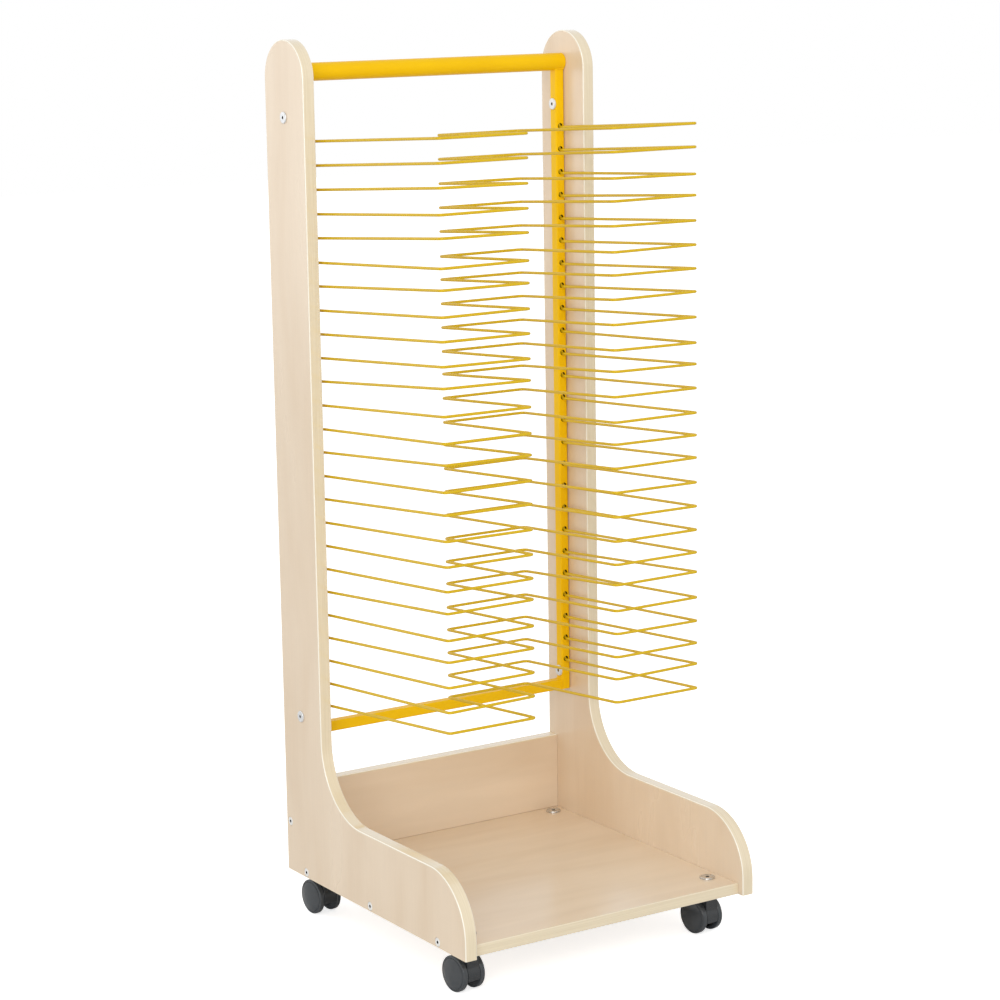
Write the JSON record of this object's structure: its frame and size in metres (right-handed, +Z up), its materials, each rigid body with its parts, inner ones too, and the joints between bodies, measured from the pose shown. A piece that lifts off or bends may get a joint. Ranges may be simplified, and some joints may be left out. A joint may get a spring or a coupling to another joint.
{
  "type": "art drying rack",
  "caption": "Rolling drying rack for artwork: wooden sides with a tray between them, a painted steel frame, and a stack of hooked wire shelves that hold single sheets.",
  "frame": {"origin": "on the floor under the middle of the rack", "axes": "+Z up, front towards -Y where the shelves reach out, +X to the right panel as seen from the front"},
  "size_m": [0.479, 0.48, 1.25],
  "materials": {
    "board": "pale maple laminate, satin",
    "edging": "satin edge band",
    "frame_paint": "golden yellow powder coat, semi-gloss",
    "zinc": "zinc plated",
    "hood_plastic": "charcoal, fine satin",
    "wheel_plastic": "charcoal, satin"
  },
  "bodies": {
    "rack": {"side_panel_left": "board", "side_panel_right": "board", "base_board": "board", "back_board": "board", "edge_band_left": "edging", "edge_band_right": "edging", "post_left": "frame_paint", "post_right": "frame_paint", "top_rail": "frame_paint", "bottom_rail": "frame_paint", "frame_bolt_upper_left": "zinc", "frame_bolt_upper_right": "zinc", "frame_bolt_lower_left": "zinc", "frame_bolt_lower_right": "zinc", "caster_bolt_front_left": "zinc", "caster_bolt_front_right": "zinc", "caster_bolt_back_left": "zinc", "caster_bolt_back_right": "zinc"},
    "shelf_01": {"wire_shelf_01": "frame_paint"},
    "shelf_02": {"wire_shelf_02": "frame_paint"},
    "shelf_03": {"wire_shelf_03": "frame_paint"},
    "shelf_04": {"wire_shelf_04": "frame_paint"},
    "shelf_05": {"wire_shelf_05": "frame_paint"},
    "shelf_06": {"wire_shelf_06": "frame_paint"},
    "shelf_07": {"wire_shelf_07": "frame_paint"},
    "shelf_08": {"wire_shelf_08": "frame_paint"},
    "shelf_09": {"wire_shelf_09": "frame_paint"},
    "shelf_10": {"wire_shelf_10": "frame_paint"},
    "shelf_11": {"wire_shelf_11": "frame_paint"},
    "shelf_12": {"wire_shelf_12": "frame_paint"},
    "shelf_13": {"wire_shelf_13": "frame_paint"},
    "shelf_14": {"wire_shelf_14": "frame_paint"},
    "shelf_15": {"wire_shelf_15": "frame_paint"},
    "shelf_16": {"wire_shelf_16": "frame_paint"},
    "shelf_17": {"wire_shelf_17": "frame_paint"},
    "shelf_18": {"wire_shelf_18": "frame_paint"},
    "shelf_19": {"wire_shelf_19": "frame_paint"},
    "shelf_20": {"wire_shelf_20": "frame_paint"},
    "shelf_21": {"wire_shelf_21": "frame_paint"},
    "shelf_22": {"wire_shelf_22": "frame_paint"},
    "shelf_23": {"wire_shelf_23": "frame_paint"},
    "shelf_24": {"wire_shelf_24": "frame_paint"},
    "shelf_25": {"wire_shelf_25": "frame_paint"},
    "caster_front_left": {"caster_housing_front_left": "hood_plastic", "caster_axle_front_left": "zinc"},
    "caster_front_right": {"caster_housing_front_right": "hood_plastic", "caster_axle_front_right": "zinc"},
    "caster_back_left": {"caster_housing_back_left": "hood_plastic", "caster_axle_back_left": "zinc"},
    "caster_back_right": {"caster_housing_back_right": "hood_plastic", "caster_axle_back_right": "zinc"},
    "wheel_front_left_outer": {"caster_wheel_front_left_outer": "wheel_plastic"},
    "wheel_front_left_inner": {"caster_wheel_front_left_inner": "wheel_plastic"},
    "wheel_front_right_outer": {"caster_wheel_front_right_outer": "wheel_plastic"},
    "wheel_front_right_inner": {"caster_wheel_front_right_inner": "wheel_plastic"},
    "wheel_back_left_outer": {"caster_wheel_back_left_outer": "wheel_plastic"},
    "wheel_back_left_inner": {"caster_wheel_back_left_inner": "wheel_plastic"},
    "wheel_back_right_outer": {"caster_wheel_back_right_outer": "wheel_plastic"},
    "wheel_back_right_inner": {"caster_wheel_back_right_inner": "wheel_plastic"}
  },
  "joints": [
    {"name": "shelf_25_lift", "type": "hinge", "parent": "rack", "child": "shelf_25", "pos_m": [0, 0.1793, 0.3248], "axis": [-1, 0, 0], "range_deg": [0, 60]},
    {"name": "shelf_01_lift", "type": "hinge", "parent": "rack", "child": "shelf_01", "pos_m": [0, 0.1793, 1.1168], "axis": [-1, 0, 0], "range_deg": [0, 60]},
    {"name": "shelf_02_lift", "type": "hinge", "parent": "rack", "child": "shelf_02", "pos_m": [0, 0.1793, 1.0838], "axis": [-1, 0, 0], "range_deg": [0, 60]},
    {"name": "shelf_03_lift", "type": "hinge", "parent": "rack", "child": "shelf_03", "pos_m": [0, 0.1793, 1.0508], "axis": [-1, 0, 0], "range_deg": [0, 60]},
    {"name": "shelf_04_lift", "type": "hinge", "parent": "rack", "child": "shelf_04", "pos_m": [0, 0.1793, 1.0178], "axis": [-1, 0, 0], "range_deg": [0, 60]},
    {"name": "shelf_05_lift", "type": "hinge", "parent": "rack", "child": "shelf_05", "pos_m": [0, 0.1793, 0.9848], "axis": [-1, 0, 0], "range_deg": [0, 60]},
    {"name": "shelf_06_lift", "type": "hinge", "parent": "rack", "child": "shelf_06", "pos_m": [0, 0.1793, 0.9518], "axis": [-1, 0, 0], "range_deg": [0, 60]},
    {"name": "shelf_07_lift", "type": "hinge", "parent": "rack", "child": "shelf_07", "pos_m": [0, 0.1793, 0.9188], "axis": [-1, 0, 0], "range_deg": [0, 60]},
    {"name": "shelf_08_lift", "type": "hinge", "parent": "rack", "child": "shelf_08", "pos_m": [0, 0.1793, 0.8858], "axis": [-1, 0, 0], "range_deg": [0, 60]},
    {"name": "shelf_09_lift", "type": "hinge", "parent": "rack", "child": "shelf_09", "pos_m": [0, 0.1793, 0.8528], "axis": [-1, 0, 0], "range_deg": [0, 60]},
    {"name": "shelf_10_lift", "type": "hinge", "parent": "rack", "child": "shelf_10", "pos_m": [0, 0.1793, 0.8198], "axis": [-1, 0, 0], "range_deg": [0, 60]},
    {"name": "shelf_11_lift", "type": "hinge", "parent": "rack", "child": "shelf_11", "pos_m": [0, 0.1793, 0.7868], "axis": [-1, 0, 0], "range_deg": [0, 60]},
    {"name": "shelf_12_lift", "type": "hinge", "parent": "rack", "child": "shelf_12", "pos_m": [0, 0.1793, 0.7538], "axis": [-1, 0, 0], "range_deg": [0, 60]},
    {"name": "shelf_13_lift", "type": "hinge", "parent": "rack", "child": "shelf_13", "pos_m": [0, 0.1793, 0.7208], "axis": [-1, 0, 0], "range_deg": [0, 60]},
    {"name": "shelf_14_lift", "type": "hinge", "parent": "rack", "child": "shelf_14", "pos_m": [0, 0.1793, 0.6878], "axis": [-1, 0, 0], "range_deg": [0, 60]},
    {"name": "shelf_15_lift", "type": "hinge", "parent": "rack", "child": "shelf_15", "pos_m": [0, 0.1793, 0.6548], "axis": [-1, 0, 0], "range_deg": [0, 60]},
    {"name": "shelf_16_lift", "type": "hinge", "parent": "rack", "child": "shelf_16", "pos_m": [0, 0.1793, 0.6218], "axis": [-1, 0, 0], "range_deg": [0, 60]},
    {"name": "shelf_17_lift", "type": "hinge", "parent": "rack", "child": "shelf_17", "pos_m": [0, 0.1793, 0.5888], "axis": [-1, 0, 0], "range_deg": [0, 60]},
    {"name": "shelf_18_lift", "type": "hinge", "parent": "rack", "child": "shelf_18", "pos_m": [0, 0.1793, 0.5558], "axis": [-1, 0, 0], "range_deg": [0, 60]},
    {"name": "shelf_19_lift", "type": "hinge", "parent": "rack", "child": "shelf_19", "pos_m": [0, 0.1793, 0.5228], "axis": [-1, 0, 0], "range_deg": [0, 60]},
    {"name": "shelf_20_lift", "type": "hinge", "parent": "rack", "child": "shelf_20", "pos_m": [0, 0.1793, 0.4898], "axis": [-1, 0, 0], "range_deg": [0, 60]},
    {"name": "shelf_21_lift", "type": "hinge", "parent": "rack", "child": "shelf_21", "pos_m": [0, 0.1793, 0.4568], "axis": [-1, 0, 0], "range_deg": [0, 60]},
    {"name": "shelf_22_lift", "type": "hinge", "parent": "rack", "child": "shelf_22", "pos_m": [0, 0.1793, 0.4238], "axis": [-1, 0, 0], "range_deg": [0, 60]},
    {"name": "shelf_23_lift", "type": "hinge", "parent": "rack", "child": "shelf_23", "pos_m": [0, 0.1793, 0.3908], "axis": [-1, 0, 0], "range_deg": [0, 60]},
    {"name": "shelf_24_lift", "type": "hinge", "parent": "rack", "child": "shelf_24", "pos_m": [0, 0.1793, 0.3578], "axis": [-1, 0, 0], "range_deg": [0, 60]},
    {"name": "caster_front_left_swivel", "type": "hinge", "parent": "rack", "child": "caster_front_left", "pos_m": [-0.1985, -0.186, 0.065], "axis": [0, 0, 1], "continuous": true},
    {"name": "wheel_front_left_outer_spin", "type": "hinge", "parent": "caster_front_left", "child": "wheel_front_left_outer", "pos_m": [-0.19963, -0.17305, 0.025], "axis": [0.9962, 0.0872, 0], "continuous": true},
    {"name": "wheel_front_left_inner_spin", "type": "hinge", "parent": "caster_front_left", "child": "wheel_front_left_inner", "pos_m": [-0.19963, -0.17305, 0.025], "axis": [0.9962, 0.0872, 0], "continuous": true},
    {"name": "caster_front_right_swivel", "type": "hinge", "parent": "rack", "child": "caster_front_right", "pos_m": [0.1985, -0.186, 0.065], "axis": [0, 0, 1], "continuous": true},
    {"name": "wheel_front_right_outer_spin", "type": "hinge", "parent": "caster_front_right", "child": "wheel_front_right_outer", "pos_m": [0.19737, -0.17305, 0.025], "axis": [0.9962, 0.0872, 0], "continuous": true},
    {"name": "wheel_front_right_inner_spin", "type": "hinge", "parent": "caster_front_right", "child": "wheel_front_right_inner", "pos_m": [0.19737, -0.17305, 0.025], "axis": [0.9962, 0.0872, 0], "continuous": true},
    {"name": "caster_back_left_swivel", "type": "hinge", "parent": "rack", "child": "caster_back_left", "pos_m": [-0.1985, 0.2, 0.065], "axis": [0, 0, 1], "continuous": true},
    {"name": "wheel_back_left_outer_spin", "type": "hinge", "parent": "caster_back_left", "child": "wheel_back_left_outer", "pos_m": [-0.19963, 0.21295, 0.025], "axis": [0.9962, 0.0872, 0], "continuous": true},
    {"name": "wheel_back_left_inner_spin", "type": "hinge", "parent": "caster_back_left", "child": "wheel_back_left_inner", "pos_m": [-0.19963, 0.21295, 0.025], "axis": [0.9962, 0.0872, 0], "continuous": true},
    {"name": "caster_back_right_swivel", "type": "hinge", "parent": "rack", "child": "caster_back_right", "pos_m": [0.1985, 0.2, 0.065], "axis": [0, 0, 1], "continuous": true},
    {"name": "wheel_back_right_outer_spin", "type": "hinge", "parent": "caster_back_right", "child": "wheel_back_right_outer", "pos_m": [0.19737, 0.21295, 0.025], "axis": [0.9962, 0.0872, 0], "continuous": true},
    {"name": "wheel_back_right_inner_spin", "type": "hinge", "parent": "caster_back_right", "child": "wheel_back_right_inner", "pos_m": [0.19737, 0.21295, 0.025], "axis": [0.9962, 0.0872, 0], "continuous": true}
  ],
  "couplings": [
    {"joint": "shelf_01_lift", "follows": "shelf_25_lift", "ratio": 1},
    {"joint": "shelf_02_lift", "follows": "shelf_25_lift", "ratio": 1},
    {"joint": "shelf_03_lift", "follows": "shelf_25_lift", "ratio": 1},
    {"joint": "shelf_04_lift", "follows": "shelf_25_lift", "ratio": 1},
    {"joint": "shelf_05_lift", "follows": "shelf_25_lift", "ratio": 1},
    {"joint": "shelf_06_lift", "follows": "shelf_25_lift", "ratio": 1},
    {"joint": "shelf_07_lift", "follows": "shelf_25_lift", "ratio": 1},
    {"joint": "shelf_08_lift", "follows": "shelf_25_lift", "ratio": 1},
    {"joint": "shelf_09_lift", "follows": "shelf_25_lift", "ratio": 1},
    {"joint": "shelf_10_lift", "follows": "shelf_25_lift", "ratio": 1},
    {"joint": "shelf_11_lift", "follows": "shelf_25_lift", "ratio": 1},
    {"joint": "shelf_12_lift", "follows": "shelf_25_lift", "ratio": 1},
    {"joint": "shelf_13_lift", "follows": "shelf_25_lift", "ratio": 1},
    {"joint": "shelf_14_lift", "follows": "shelf_25_lift", "ratio": 1},
    {"joint": "shelf_15_lift", "follows": "shelf_25_lift", "ratio": 1},
    {"joint": "shelf_16_lift", "follows": "shelf_25_lift", "ratio": 1},
    {"joint": "shelf_17_lift", "follows": "shelf_25_lift", "ratio": 1},
    {"joint": "shelf_18_lift", "follows": "shelf_25_lift", "ratio": 1},
    {"joint": "shelf_19_lift", "follows": "shelf_25_lift", "ratio": 1},
    {"joint": "shelf_20_lift", "follows": "shelf_25_lift", "ratio": 1},
    {"joint": "shelf_21_lift", "follows": "shelf_25_lift", "ratio": 1},
    {"joint": "shelf_22_lift", "follows": "shelf_25_lift", "ratio": 1},
    {"joint": "shelf_23_lift", "follows": "shelf_25_lift", "ratio": 1},
    {"joint": "shelf_24_lift", "follows": "shelf_25_lift", "ratio": 1}
  ]
}
